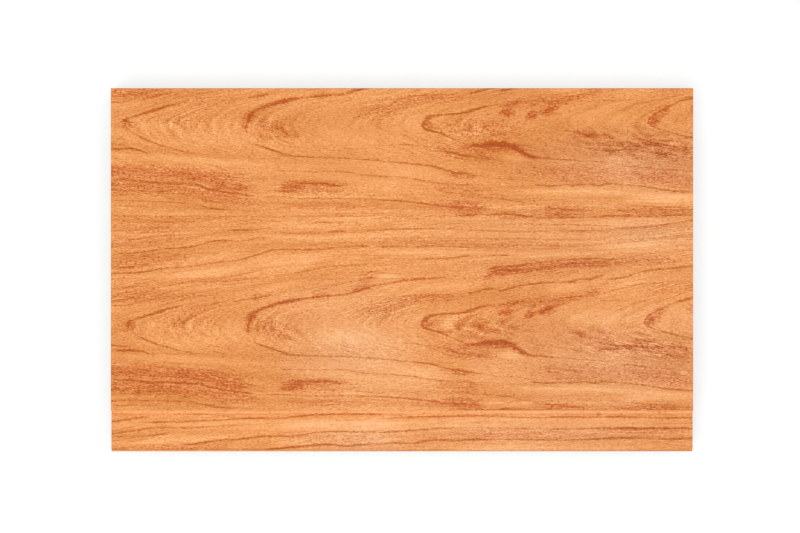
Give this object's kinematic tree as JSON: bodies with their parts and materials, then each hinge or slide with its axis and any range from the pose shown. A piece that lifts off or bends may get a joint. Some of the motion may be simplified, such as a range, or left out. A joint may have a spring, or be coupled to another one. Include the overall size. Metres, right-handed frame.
{
  "type": "plastic cladding slat",
  "caption": "Hollow plastic cladding slat with a wood-grain print on its face, a recessed tongue along one edge and a groove along the other.",
  "frame": {"origin": "middle of the slat's flat underside, which is its back", "axes": "+X along the slat, +Y across it from the tongue edge to the groove edge, +Z from the back to the printed face"},
  "size_m": [0.18, 0.1124, 0.01],
  "materials": {
    "printed_pvc": "satin wood-grain print on the face, its edges and the tongue's front; plain white plastic on the back, in the groove and on the cut ends"
  },
  "bodies": {
    "root": {"cladding_slat": "printed_pvc"}
  },
  "joints": []
}
